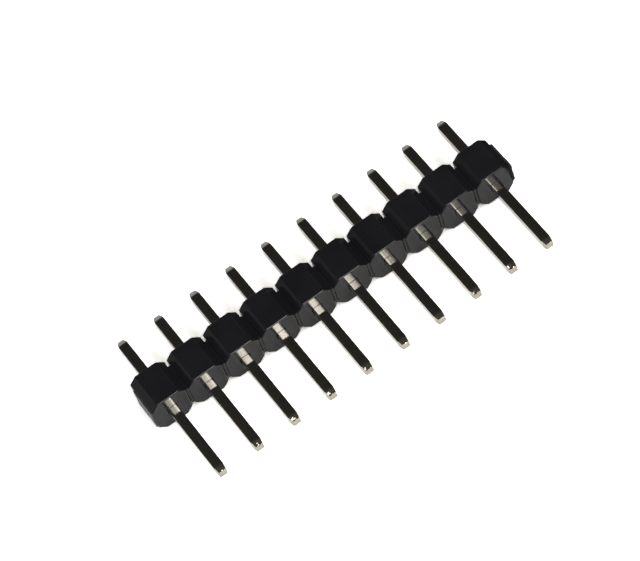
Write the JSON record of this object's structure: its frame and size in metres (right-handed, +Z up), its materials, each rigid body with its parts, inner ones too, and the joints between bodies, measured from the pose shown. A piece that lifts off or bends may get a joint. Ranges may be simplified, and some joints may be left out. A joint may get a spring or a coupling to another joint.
{
  "type": "pin header strip",
  "caption": "Straight single-row pin header strip: square metal pins held in a black moulded strip of eight-sided cells joined by thin webs that snap apart.",
  "frame": {"origin": "middle of the row and of the pins' length, on the flat side that the strip rests on", "axes": "+X along the row, -Y the way the long mating posts point, +Y the way the short solder tails point, +Z up from the side it rests on"},
  "size_m": [0.0255, 0.0112, 0.0025],
  "materials": {
    "black_moulding": "smooth moulded black thermoplastic with a soft gloss",
    "plated_pin": "bright tin plate over drawn square wire, close to mirror-smooth with faint drawing lines"
  },
  "bodies": {
    "root": {"housing": "black_moulding", "pin_01": "plated_pin", "pin_02": "plated_pin", "pin_03": "plated_pin", "pin_04": "plated_pin", "pin_05": "plated_pin", "pin_06": "plated_pin", "pin_07": "plated_pin", "pin_08": "plated_pin", "pin_09": "plated_pin", "pin_10": "plated_pin"}
  },
  "joints": []
}
